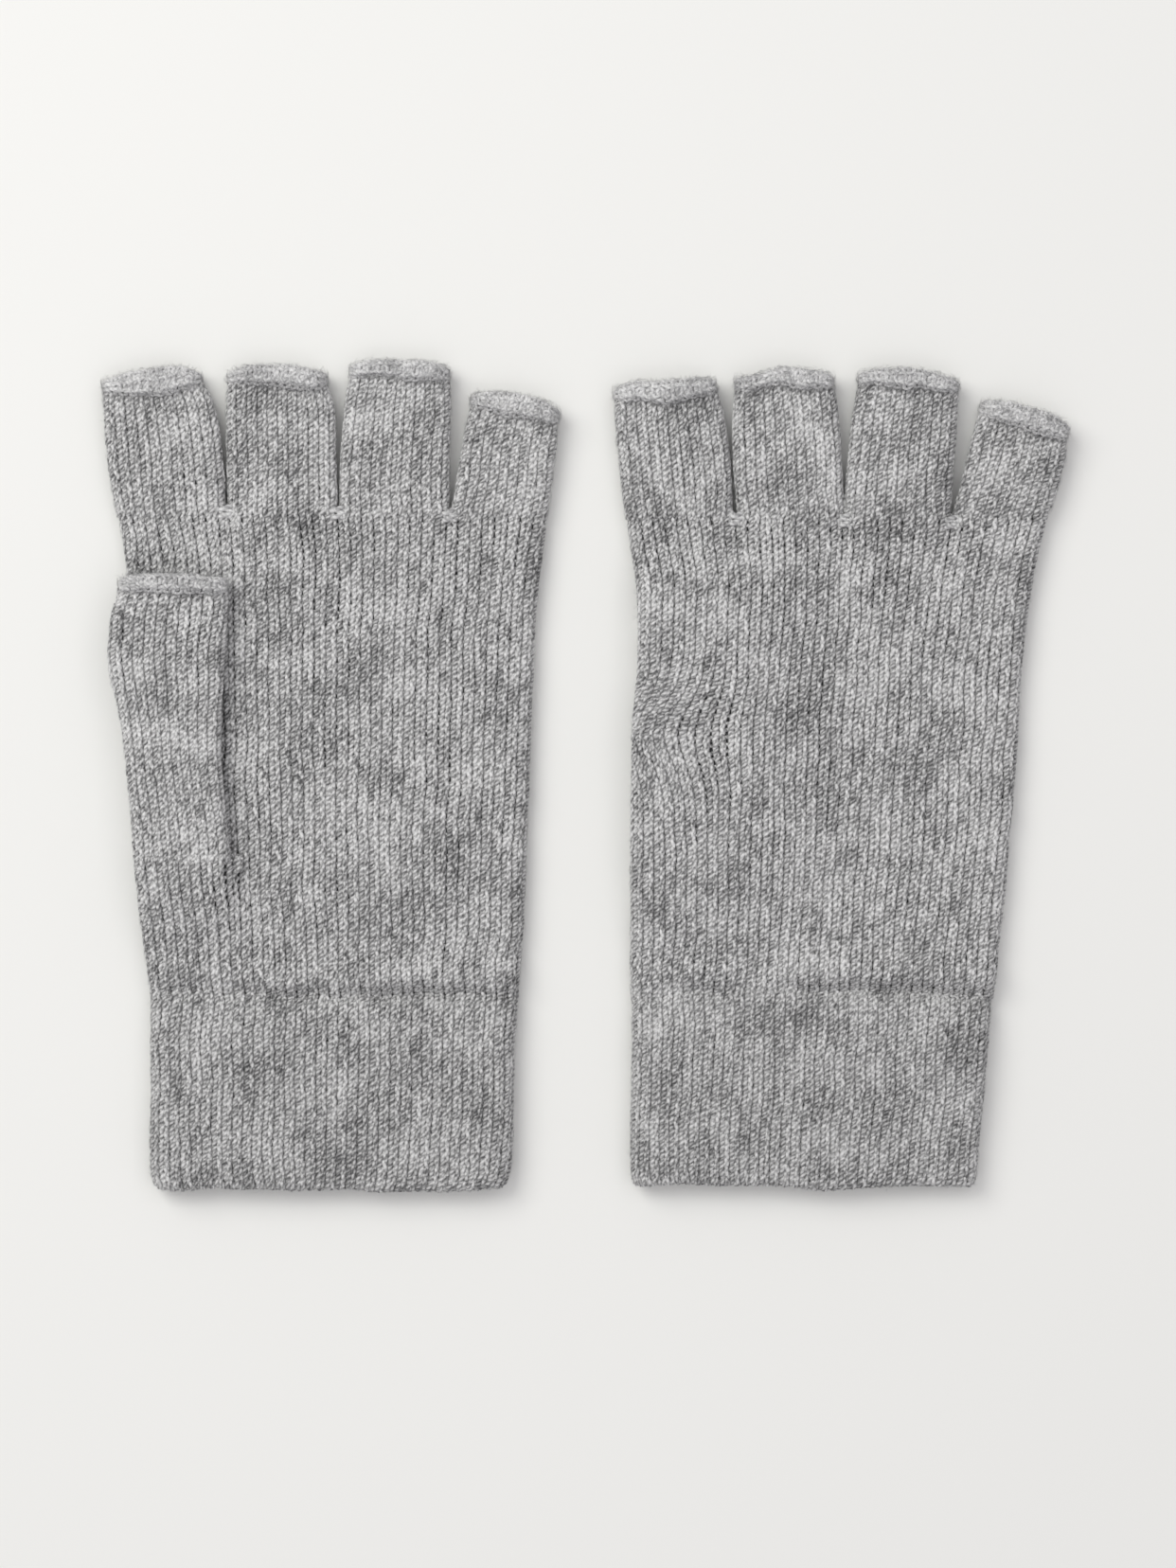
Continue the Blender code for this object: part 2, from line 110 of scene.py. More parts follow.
# stitches round each tube, and rows of stitches along it
WALES = {"hand": 72, "index": 23, "middle": 23, "ring": 23, "little": 21, "thumb": 22}
COURSE = {"left": {"hand": 1.95, "cuff": 1.85, "finger": 1.81, "thumb": 1.92},
          "right": {"hand": 1.87, "cuff": 1.66, "finger": 1.81, "thumb": 1.92}}
YARN = 0.56  # radius of the yarn
LAYER = 0.95  # from the outside of the knit to the middle of it
SEGS, SIDES = 10, 6


# ---------------------------------------------------------------- small numeric tools
def smooth(t):
    t = np.clip(t, 0.0, 1.0)
    return t * t * (3 - 2 * t)


def lattice(seed, n=64):
    return np.random.default_rng(seed).uniform(-1, 1, (n, n))


def noise(seed, x, y, size):
    """Smooth noise from -1 to 1 with features about size across."""
    grid = lattice(seed)
    n = len(grid)
    x, y = np.asarray(x, float) / size + 500.0, np.asarray(y, float) / size + 500.0
    i, j = np.floor(x).astype(int), np.floor(y).astype(int)
    u, v = smooth(x - i), smooth(y - j)
    a, b = grid[i % n, j % n], grid[(i + 1) % n, j % n]
    c, d = grid[i % n, (j + 1) % n], grid[(i + 1) % n, (j + 1) % n]
    return (a * (1 - u) + b * u) * (1 - v) + (c * (1 - u) + d * u) * v


def read(stations, y):
    """The values of a list of stations at y, joined smoothly."""
    rows = np.array(sorted(stations), float)
    fine = np.linspace(rows[0, 0] - 6, rows[-1, 0] + 6, 400)
    out = []
    kernel = np.exp(-0.5 * (np.arange(-24, 25) / 8.0) ** 2)
    kernel /= kernel.sum()
    for col in range(1, rows.shape[1]):
        line = np.interp(fine, rows[:, 0], rows[:, col])
        line = np.convolve(np.pad(line, 24, mode="edge"), kernel, mode="valid")
        out.append(np.interp(y, fine, line))
    return out


def section(half_w, half_h, count, side_round=1.25):
    """A flattened closed loop in (x, z): from the left side over the top to the right and back underneath."""
    rx = min(side_round * half_h, 0.45 * half_w)
    run = half_w - rx
    q = np.linspace(0, math.pi / 2, 20)
    power = 0.9
    cx, cz = np.cos(q) ** power, np.sin(q) ** power
    left_up = np.stack([-run - rx * cx, half_h * cz], 1)
    right_down = np.stack([run + rx * cx[::-1], half_h * cz[::-1]], 1)
    top = np.concatenate([left_up, right_down])
    low = top[::-1] * np.array([1.0, -1.0])
    loop = np.concatenate([top, low[1:]])
    steps = np.r_[0, np.cumsum(np.hypot(*np.diff(loop, axis=0).T))]
    at = np.linspace(0, steps[-1], count, endpoint=False)
    return np.stack([np.interp(at, steps, loop[:, 0]), np.interp(at, steps, loop[:, 1])], 1)


def normals(grid):
    du = np.roll(grid, -1, axis=1) - np.roll(grid, 1, axis=1)
    dv = np.gradient(grid, axis=0)
    n = np.cross(du, dv)
    return n / np.maximum(np.linalg.norm(n, axis=2, keepdims=True), 1e-9)


def sample(grid, row, col):
    """Reads a grid at fractional rows, held at the ends, and fractional columns, which go round."""
    rows, cols = grid.shape[:2]
    row = np.clip(row, 0, rows - 1.0001)
    i, j = np.floor(row).astype(int), np.floor(col).astype(int)
    u, v = (row - i)[..., None], (col - j)[..., None]
    j0, j1 = j % cols, (j + 1) % cols
    return (grid[i, j0] * (1 - u) + grid[i + 1, j0] * u) * (1 - v) + (
        grid[i, j1] * (1 - u) + grid[i + 1, j1] * u) * v


# ---------------------------------------------------------------- meshes
def mesh_object(name, verts, quads, mats, slot_of=None, uv=None, flat_uv=None):
    mesh = bpy.data.meshes.new(name)
    verts = ((np.asarray(verts, float).reshape(-1, 3) - CENTRE) * MM).astype(np.float32)
    quads = np.asarray(quads, np.int32).reshape(-1, 4)
    mesh.vertices.add(len(verts))
    mesh.vertices.foreach_set("co", verts.ravel())
    mesh.loops.add(quads.size)
    mesh.loops.foreach_set("vertex_index", quads.ravel())
    mesh.polygons.add(len(quads))
    mesh.polygons.foreach_set("loop_start", np.arange(0, quads.size, 4, dtype=np.int32))
    mesh.polygons.foreach_set("loop_total", np.full(len(quads), 4, np.int32))
    mesh.polygons.foreach_set("use_smooth", np.ones(len(quads), bool))
    for mat in mats:
        mesh.materials.append(mat)
    if slot_of is not None:
        mesh.polygons.foreach_set("material_index", np.asarray(slot_of, np.int32))
    if uv is not None:
        layer = mesh.uv_layers.new(name="yarn")
        layer.data.foreach_set("uv", np.asarray(uv, np.float32).ravel())
    if flat_uv is not None:
        layer = mesh.uv_layers.new(name="OFBake")
        layer.data.foreach_set("uv", np.asarray(flat_uv, np.float32).ravel())
    mesh.update(calc_edges=True)
    mesh.validate()
    obj = bpy.data.objects.new(name, mesh)
    bpy.context.scene.collection.objects.link(obj)
    return obj


def strip_map(quads_shape):
    """A flat map with no overlaps: lengths of yarn laid side by side, each course cut into rows that fill a square."""
    courses, points, sides = quads_shape
    total = courses * points
    row = max(1, math.ceil(math.sqrt(total * sides)))
    rows = math.ceil(total / row)
    at = np.arange(total).reshape(courses, points, 1)
    side = np.arange(sides)[None, None]
    u, v = (at % row) + 0 * side, (at // row) * sides + side
    out = np.empty(quads_shape + (4, 2))
    for corner, (du, dv) in enumerate(((0, 0), (0, 1), (1, 1), (1, 0))):
        out[..., corner, 0] = (u + du) / row
        out[..., corner, 1] = (v + dv) / (rows * sides)
    return out


class Batch:
    """Tubes of yarn and sheets collected into one mesh."""

    def __init__(self):
        self.verts, self.quads, self.slots, self.uvs, self.flats, self.count = [], [], [], [], [], 0

    def add(self, verts, quads, slot, uv, flat):
        self.verts.append(verts.reshape(-1, 3))
        self.quads.append(quads.reshape(-1, 4) + self.count)
        self.slots.append(np.full(quads.size // 4, slot))
        self.uvs.append(uv.reshape(-1, 2))
        self.flats.append(flat.reshape(-1, 2))
        self.count += verts.size // 3

    def make(self, name, mats):
        share = np.array([len(q) for q in self.quads], float)
        share = share / share.sum()
        low = np.r_[0, np.cumsum(share)]
        flats = [f * np.array([1, s * 0.998]) + np.array([0, y]) for f, s, y in zip(self.flats, share, low)]
        return mesh_object(name, np.concatenate(self.verts), np.concatenate(self.quads), mats,
                           np.concatenate(self.slots), np.concatenate(self.uvs), np.concatenate(flats))


def yarn(batch, path, up, radius, slot=0, closed=True, sides=SIDES, offset=0.0, flat=0.9):
    """Sweeps yarn along path (courses, points, 3), each course a closed loop or an open length."""
    courses, points = path.shape[:2]
    if closed:
        tangent = np.roll(path, -1, axis=1) - np.roll(path, 1, axis=1)
    else:
        tangent = np.gradient(path, axis=1)
    tangent /= np.maximum(np.linalg.norm(tangent, axis=2, keepdims=True), 1e-9)
    side = np.cross(tangent, up)
    side /= np.maximum(np.linalg.norm(side, axis=2, keepdims=True), 1e-9)
    top = np.cross(side, tangent)
    angle = np.linspace(0, 2 * math.pi, sides, endpoint=False)
    radius = np.broadcast_to(radius, path.shape[:2])[..., None, None]
    ring = (path[:, :, None] + radius * (side[:, :, None] * np.cos(angle)[None, None, :, None]
            + flat * top[:, :, None] * np.sin(angle)[None, None, :, None]))
    index = np.arange(courses * points * sides).reshape(courses, points, sides)
    nxt = np.roll(index, -1, axis=1)
    length = np.linalg.norm(np.roll(path, -1, axis=1) - path, axis=2)
    along = np.cumsum(length, axis=1) - length + offset + np.arange(courses)[:, None] * 37.7
    if not closed:
        index, nxt = index[:, :-1], nxt[:, :-1]
        length, along = length[:, :-1], along[:, :-1]
    quads = np.stack([index, np.roll(index, -1, axis=2), np.roll(nxt, -1, axis=2), nxt], axis=3)
    v0 = np.arange(sides) / sides
    uv = np.empty(quads.shape + (2,))
    uv[..., 0, 0] = uv[..., 1, 0] = along[:, :, None]
    uv[..., 2, 0] = uv[..., 3, 0] = (along + length)[:, :, None]
    uv[..., 0, 1] = uv[..., 3, 1] = v0
    uv[..., 1, 1] = uv[..., 2, 1] = v0 + 1 / sides
    batch.add(ring, quads, slot, uv, strip_map(quads.shape[:3]))


def knit(batch, grid, per_course, wales, first, last, seed, radius=YARN, segs=SEGS, lift=0.45,
         wide=0.25, tall=1.0, slot=0, loose=1.0, fat=None):
    """Jersey loops on a grid of the knit's middle surface: one closed course per row of stitches.

    grid has per_course rows for each course. first and last choose the courses. fat(places) thickens the yarn."""
    cols = grid.shape[1]
    norm = normals(grid)
    courses = np.arange(first, last)
    t = np.arange(wales * segs) * (2 * math.pi / segs)
    stitch = t / (2 * math.pi)
    c0 = (courses[:, None] + 0.5) * np.ones_like(t)
    u0 = stitch[None, :] * np.ones_like(c0)
    wob_u = 0.07 * loose * noise(seed, u0 * 1.0, c0, 0.9) + 0.16 * loose * noise(seed + 1, u0, c0, 5.0)
    wob_c = 0.07 * loose * noise(seed + 2, u0, c0, 0.9) + 0.12 * loose * noise(seed + 3, u0, c0, 4.0)
    size = 1 + 0.10 * loose * noise(seed + 4, u0, c0 * 1.7, 1.1)
    u = u0 + wide * size * np.sin(2 * t)[None] - 0.04 * np.sin(t)[None] + wob_u
    c = c0 - tall * np.cos(t)[None] * size + wob_c
    col, row = u / wales * cols, c * per_course
    base, up = sample(grid, row, col), sample(norm, row, col)
    up /= np.maximum(np.linalg.norm(up, axis=2, keepdims=True), 1e-9)
    depth = -lift * np.cos(2 * t)[None] + 0.16 * loose * noise(seed + 5, u0, c0, 1.3)
    path = base + up * depth[..., None]
    thick = radius * (1 - 0.10 * np.cos(2 * t)[None] + 0.09 * noise(seed + 6, u0, c0 * 3, 0.8))
    if fat is not None:
        thick = thick * fat(base)
    yarn(batch, path, up, thick, slot, True, SIDES, offset=seed * 13.0)


def shell(batch, grid, out, inn, slot=1, step=(2, 3)):
    """The backing behind the loops: two close layers joined at their rims."""
    norm = normals(grid)
    rows = list(range(0, grid.shape[0], step[0]))
    if rows[-1] != grid.shape[0] - 1:
        rows.append(grid.shape[0] - 1)
    cols = np.arange(0, grid.shape[1], step[1])
    g, n = grid[rows][:, cols], norm[rows][:, cols]
    a, b = g + n * out, g + n * inn
    nr, nc = g.shape[:2]
    m = nr * nc
    # one closed skin: up the outside, over the rim, down the inside and back
    idx = np.concatenate([np.arange(m).reshape(nr, nc), np.arange(m).reshape(nr, nc)[::-1] + m, np.arange(nc)[None]])
    right = np.roll(idx, -1, axis=1)
    quads = np.stack([idx[:-1], right[:-1], right[1:], idx[1:]], axis=2)
    verts = np.concatenate([a.reshape(-1, 3), b.reshape(-1, 3)])
    uv = np.stack([verts[quads][..., 0], verts[quads][..., 1]], axis=-1)
    flat = np.empty(quads.shape + (2,))
    u, v = np.meshgrid(np.arange(quads.shape[1]), np.arange(quads.shape[0]))
    for corner, (du, dv) in enumerate(((0, 0), (1, 0), (1, 1), (0, 1))):
        flat[..., corner, 0] = (u + du) / quads.shape[1]
        flat[..., corner, 1] = (v + dv) / quads.shape[0]
    batch.add(verts, quads, slot, uv, flat)


def fuzz(batch, grid, count, seed, slot=0, face=1.0, length=(1.2, 2.6), rows=(0.0, 1.0), radius=0.024, stand=0.35):
    """Stray fibres standing off the knit."""
    rng = np.random.default_rng(seed)
    norm = normals(grid)
    row = rng.uniform(rows[0], rows[1], count) * (grid.shape[0] - 2)
    col = rng.uniform(0, grid.shape[1], count)
    base, up = sample(grid, row, col), sample(norm, row, col) * face
    step = sample(grid, row, col + 0.5) - sample(grid, row, col - 0.5)
    step /= np.maximum(np.linalg.norm(step, axis=1, keepdims=True), 1e-9)
    other = np.cross(up, step)
    turn = rng.uniform(0, 2 * math.pi, count)
    way = step * np.cos(turn)[:, None] + other * np.sin(turn)[:, None]
    bend = np.cross(up, way) * rng.uniform(-0.6, 0.6, count)[:, None]
    size = rng.uniform(*length, count)[:, None]
    t = np.linspace(0, 1, 4)[None, :, None]
    rise = rng.uniform(0.35, 1.0, count)[:, None] * stand
    path = (base[:, None] + up[:, None] * (YARN + 0.25 + (rise[:, None] * np.sin(t * math.pi * 0.75)))
            + way[:, None] * (t * size[:, None]) + bend[:, None] * (t ** 2 * size[:, None]))
    path[..., 2] = np.maximum(path[..., 2], 0.08)
    yarn(batch, path, up[:, None] + 0 * path, radius, slot, False, 3, offset=seed * 3.1, flat=1.0)


# ---------------------------------------------------------------- the soft tubes
def thumb_at(side, y):
    cx, half = read(THUMB[side], y)
    return cx, half


def settle(grid, low=0.95):
    """Keeps the middle of the knit off the table, rounding it in softly."""
    z = grid[..., 2]
    soft = 0.5
    grid[..., 2] = low + soft * np.logaddexp(0, (z - low) / soft)
    return grid


def ripple(grid, seed, amount=0.35):
    """The slow unevenness of soft knitting."""
    x, y, z = grid[..., 0], grid[..., 1], grid[..., 2]
    up = smooth((z - 2.0) / 4.0)
    grid[..., 2] = z + up * amount * (noise(seed, x, y, 24.0) + 0.5 * noise(seed + 1, x, y, 11.0))
    grid[..., 0] = x + 0.25 * noise(seed + 2, x, y, 14.0)
    grid[..., 1] = y + 0.22 * noise(seed + 3, x, y, 12.0)
    return grid


def crease(x, y, z, seed):
    """Draws the knit in along a wandering line round the wrist, where the cuff is linked."""
    top = smooth((z - 1.6) / 5.0)
    line = WRIST_Y + 0.2 + 1.5 * noise(seed, x, 0 * x, 17.0) + 0.8 * noise(seed + 1, x, 0 * x, 6.0)
    near = np.exp(-((y - WRIST_Y) / 13.0) ** 2)
    y = y + (line - WRIST_Y) * near
    middle, half = (-61.0, 34.0) if seed == 31 else (80.0, 24.0)
    deep = np.clip(0.45 + 0.65 * np.exp(-((x - middle) / half) ** 4) + 0.6 * noise(seed + 2, x, 0 * x, 11.0), 0.1, 1.5)
    # the underside rests on the table, so it is drawn in far less
    share = (1.25 * top - 0.25) * deep
    z = z + share * (-2.6 * np.exp(-((y - line) / 2.3) ** 2) + 1.6 * np.exp(-((y - line - 5.0) / 3.4) ** 2))
    return y, z


LEFT_THUMB = (7.9, 6.7)  # underside and height of the left thumb where it lies on the palm
RIGHT_THUMB_H = 6.6


def hand_grid(side):
    pitch = COURSE[side]["hand"]
    y0, y1 = WRIST_Y - 1.1, KNUCKLE_Y[side] + 1.0
    courses = round((y1 - y0) / pitch)
    per, cols = 3, WALES["hand"] * 5
    ys = np.linspace(y0, y1, courses * per + 1)
    left, right = read(HAND[side], ys)
    rows = []
    for y, xl, xr in zip(ys, left, right):
        high = (HAND_H + (CUFF_H - 1.0 - HAND_H) * (1 - smooth((y - WRIST_Y) / 12.0))) / 2
        loop = section((xr - xl) / 2 - LAYER * 0.7, high - LAYER, cols)
        rows.append(np.stack([(xl + xr) / 2 + loop[:, 0], np.full(cols, y), high + loop[:, 1]], 1))
    grid = np.array(rows)
    x, y, z = grid[..., 0], grid[..., 1], grid[..., 2]
    top = smooth((z - 1.6) / 4.4)
    # shallow valleys running down from between the fingers
    for cx, cy in STITCH[side].values():
        reach = smooth((y - (cy - 18)) / 17.0)
        dip = np.exp(-((x - cx) / (2.2 + 1.5 * (1 - reach))) ** 2) * reach ** 2
        z = z - dip * 1.7 * (2 * top - 1)
    y, z = crease(x, y, z, 31 if side == "left" else 41)
    if side == "left":
        cx, half = thumb_at(side, y)
        edge = cx + half
        below = np.maximum(0.0, THUMB_ROOT_Y - y)
        wide = 3.5 + 0.45 * below
        rise = smooth((y + 54.0) / 31.0) * (LEFT_THUMB[0] + LEFT_THUMB[1] - HAND_H)
        across = 1 - smooth((x - (edge - 0.4 * wide)) / wide)
        drop = 1 - smooth((y - THUMB_ROOT_Y - 0.2) / 1.4)
        z = z + top * rise * across * drop
        # the palm is pressed down a little under the thumb
        under = smooth((y - THUMB_ROOT_Y) / 3.0) * (1 - smooth((y - 52.0) / 8.0)) * (1 - smooth((x - edge + 3) / 8.0))
        z = z - top * under * 0.9
    else:
        cx, half = thumb_at(side, y)
        edge = cx + half
        along = smooth((y + 52.0) / 30.0) * (1 - smooth((y - 44.0) / 20.0))
        broad = 1 - smooth((x - (edge - 4)) / 30.0)
        narrow = 1 - smooth((x - (edge + 1)) / 9.0)
        over = smooth((y - THUMB_ROOT_Y - 0.2) / 1.6) * (1 - smooth((y - 46.5) / 11.0))
        z = z + top * (RIGHT_THUMB_H - 1.9) * along * broad
        z = z + (1 - top) * (RIGHT_THUMB_H + 0.5) * over * narrow
        # wales drawn round towards the fold where the thumb leaves the palm underneath
        grid = np.stack([x, y, z], axis=2)
        turn = np.arange(cols)[None] * ((right[:, None] - left[:, None]) * 2.05 / cols)
        reach = np.exp(-((turn - 14.5) / np.where(turn > 14.5, 11.5, 15.0)) ** 2 - ((y - 11.5) / 11.0) ** 2)
        slide = 6.8 * reach / (turn[:, 1:2] - turn[:, :1])
        rows_at = np.arange(len(ys))[:, None] * np.ones((1, cols))
        grid = sample(grid, rows_at + 0.8 * per * reach * noise(77, x, y, 7.0), np.arange(cols)[None] - slide)
        x, y, z = grid[..., 0], grid[..., 1], grid[..., 2]
        z = z + 0.8 * np.exp(-((x - 17) / 6.0) ** 2 - ((y - 17.5) / 8.0) ** 2) * top - 0.9 * np.exp(
            -((x - 29.5) / 4.0) ** 2 - ((y - 9) / 9.0) ** 2) * top
    grid = np.stack([x, y, z], axis=2)
    return settle(ripple(grid, 11 if side == "left" else 61)), per, courses


def cuff_grid(side):
    """From inside, down to the fold and up the outside to the wrist."""
    pitch = COURSE[side]["cuff"]
    end = CUFF_END_Y[side]
    seed = 21 if side == "left" else 71
    # (y, inset) along the fold: 12 mm of the inside, the rounded fold, then the outside
    inside = [(end + 16.0 - s, 1.75) for s in np.arange(0, 14.4, 0.4)]
    bend = [(end + 1.75 - 0.85 * math.cos(a), 0.875 + 0.875 * math.cos(a)) for a in np.linspace(0, math.pi, 12)][1:-1]
    bend = [(end + 1.6 - 1.0 * math.sin(a), 0.875 + 0.875 * math.cos(a)) for a in np.linspace(0.08, math.pi - 0.08, 12)]
    outside = [(y, 0.0) for y in np.arange(end + 1.6, WRIST_Y + 0.01, 0.4)]
    line = np.array(inside + bend + outside)
    steps = np.r_[0, np.cumsum(np.hypot(*np.diff(line, axis=0).T))]
    outer_start = steps[len(inside) + len(bend)]
    courses = round(steps[-1] / pitch)
    per, cols = 3, WALES["hand"] * 5
    at = np.linspace(0, steps[-1], courses * per + 1)
    ys, ins = np.interp(at, steps, line[:, 0]), np.interp(at, steps, line[:, 1])
    left, right = read(CUFF[side], ys)
    rows = []
    for y, i, xl, xr in zip(ys, ins, left, right):
        high = (CUFF_H - 1.0 * smooth((y - WRIST_Y + 14.0) / 12.0)) / 2
        pinch = 0.9 * (1 - smooth((y - end) / 5.0))
        loop = section((xr - xl) / 2 - LAYER * 0.7 - i, high - LAYER - i - pinch * 0.5, cols)
        rows.append(np.stack([(xl + xr) / 2 + loop[:, 0], np.full(cols, y), high + loop[:, 1]], 1))
    grid = np.array(rows)
    x, y, z = grid[..., 0], grid[..., 1], grid[..., 2]
    top = smooth((z - 2.0) / 5.0)
    y, z = crease(x, y, z, 31 if side == "left" else 41)
    # the hem isn't quite straight
    wave = (1 - smooth((y - end) / 25.0)) * (0.9 * noise(seed + 9, x, y * 0, 22.0) + 0.4 * noise(seed + 8, x, y * 0, 9.0))
    middle, half = (left.mean() + right.mean()) / 2, (right.mean() - left.mean()) / 2
    sag = 1.6 * (1 - np.clip(np.abs((x - middle) / half), 0, 1) ** 2.5) - 1.1
    y = y + wave - sag * (1 - smooth((y - end) / 14.0)) * (1.0 if side == "left" else 0.25)
    grid = np.stack([x, y, z], axis=2)
    return settle(ripple(grid, seed)), per, courses, round(outer_start / pitch)


def tube_with_roll(frame_at, length, half_at, high_at, wales, pitch, seed, curl, corner, ahead=5.6, rise=1.55,
                   floor=0.95, ripples=0.25):
    """A finger or thumb tube that ends in a curled edge, almond shaped from above.

    frame_at(s) gives (centre, along, across) at a distance s from the root; half_at and high_at its half sizes."""
    where, thick, thin, bow = curl
    mean_ra = (0.5 * thick + 0.5 * thin) / 2 - YARN
    turn = np.linspace(-math.pi / 2, math.radians(225), 60)
    reach = length + ahead - bow * 0.35 - YARN - mean_ra
    line = [(s, -1.0) for s in np.arange(0.0, reach, 0.4)] + [(reach, a) for a in turn]
    gaps = [0.0]
    for (s0, a0), (s1, a1) in zip(line, line[1:]):
        if a1 == -1.0:
            gaps.append(s1 - s0)
        elif a0 == -1.0:
            gaps.append(reach - s0)
        else:
            gaps.append(math.hypot(mean_ra * (math.cos(a1) - math.cos(a0)), rise * (math.sin(a1) - math.sin(a0))))
    line, steps = np.array(line), np.cumsum(gaps)
    courses = round(steps[-1] / pitch)
    per, cols = 4, wales * 6
    at = np.linspace(0, steps[-1], courses * per + 1)
    body = int(round(reach / pitch))
    rows = []
    for step in at:
        k = int(np.clip(np.searchsorted(steps, step) - 1, 0, len(steps) - 2))
        mix = (step - steps[k]) / max(steps[k + 1] - steps[k], 1e-9)
        turned = step > reach
        s = min(step, reach)
        a = line[k, 1] * (1 - mix) + line[k + 1, 1] * mix if turned and line[k, 1] != -1.0 else -math.pi / 2
        held = min(s, length)
        centre, along, across = frame_at(held)
        half, high = half_at(held), high_at(held)
        loop = section(half - LAYER * 0.7, high - LAYER, cols)
        share = loop[:, 0] / max(half, 1e-6)
        upper = smooth((loop[:, 1] / max(high - LAYER, 1e-6) + 0.6) / 1.2)
        almond = np.clip(1 - np.abs((share - where) / np.where(share > where, 1 - where, 1 + where)) ** 1.9, 0, 1)
        lump = 1 + 0.12 * noise(seed + 5, share * 10 + 30, upper * 3, 3.2)
        ra = ((thin + (thick - thin) * almond) / 2 * lump - YARN) * (0.7 + 0.3 * upper)
        rb = rise * (0.45 + 0.62 * almond) * lump * (0.45 + 0.55 * upper)
        tip = length + ahead - bow * np.abs(share) ** 2.1 + 0.8 * noise(seed + 6, share * 6, 0 * share, 4.0)
        middle = tip - YARN - ra
        ahead_by = s - (reach - middle) * smooth((s - 0.3 * reach) / (0.7 * reach)) - held + ra * math.cos(a) * (a > -1.57)
        lift = rb * (1 + math.sin(a))
        du = np.roll(loop, -1, axis=0) - np.roll(loop, 1, axis=0)
        nrm = np.stack([-du[:, 1], du[:, 0]], 1)
        nrm /= np.linalg.norm(nrm, axis=1, keepdims=True)
        # the ends of the curl are drawn in to the corners of the tube
        draw = smooth((s - (reach - 6.0)) / 6.0)
        local = loop * np.array([1 - 0.02 * draw, 1.0]) + nrm * lift[:, None] * np.array([0.12, 1.0])
        near_tip = smooth((s - (length - 9.0)) / 14.0) ** 1.5
        local[:, 0] += near_tip * (corner[0] * np.clip(-share, 0, 1) - corner[1] * np.clip(share, 0, 1))
        rows.append(np.array(centre)[None] + np.outer(local[:, 0], across) + np.outer(ahead_by, along)
                    + np.outer(local[:, 1], (0, 0, 1)))
    grid = np.array(rows)
    return settle(ripple(grid, seed, ripples), floor), per, courses, body


def finger_grid(side, name):
    rx, rw, tx, ty, tw, turn = FINGER[side][name]
    root = KNUCKLE_Y[side]
    phi = math.radians(turn)
    length = ty - root

    def frame_at(s):
        t = s / length
        a = phi * t
        cz = HAND_H / 2 + 0.9 * smooth(t)
        return (rx + (tx - rx) * t + BULGE[side][name][0] * 4 * t * (1 - t), root + s, cz), (-math.sin(phi * smooth(t)), math.cos(phi * smooth(t)), 0.0), (
            math.cos(a), math.sin(a), 0.0)

    seed = 100 + 10 * list(FINGER[side]).index(name) + (0 if side == "left" else 50)
    def half_at(s):
        t = s / length
        return rw + (tw - rw) * t + BULGE[side][name][1] * 4 * t * (1 - t)

    return tube_with_roll(frame_at, length, half_at,
                          lambda s: HAND_H / 2 + (3.6 - HAND_H / 2) * smooth(s / length),
                          WALES[name], COURSE[side]["finger"], seed, CURL[side][name], CORNER[side][name])


def thumb_grid(side):
    stations = THUMB[side]
    y0, y1 = stations[0][0] - 1.5, stations[-1][0]
    length = y1 - y0
    h = LEFT_THUMB[1] if side == "left" else RIGHT_THUMB_H
    base = LEFT_THUMB[0] if side == "left" else 0.0

    def frame_at(s):
        cx, half = thumb_at(side, np.array([y0 + s]))
        ahead, _ = thumb_at(side, np.array([y0 + s + 2.0]))
        lean = float(ahead[0] - cx[0]) / 2.0
        t = s / length
        return (float(cx[0]), y0 + s, base + h / 2 + (0.5 * smooth(t) if side == "left" else 0.0)), (
            lean, 1.0, 0.0), (1.0, 0.0, 0.0)

    def half_at(s):
        return float(thumb_at(side, np.array([y0 + s]))[1][0])

    return tube_with_roll(frame_at, length, half_at, lambda s: h / 2, WALES["thumb"], COURSE[side]["thumb"],
                          301 if side == "left" else 351, CURL[side]["thumb"],
                          CORNER[side]["thumb"], rise=1.5 if side == "left" else 0.5)


# ---------------------------------------------------------------- materials
def node(tree, kind, **values):
    made = tree.nodes.new(kind)
    for key, value in values.items():
        setattr(made, key, value)
    return made


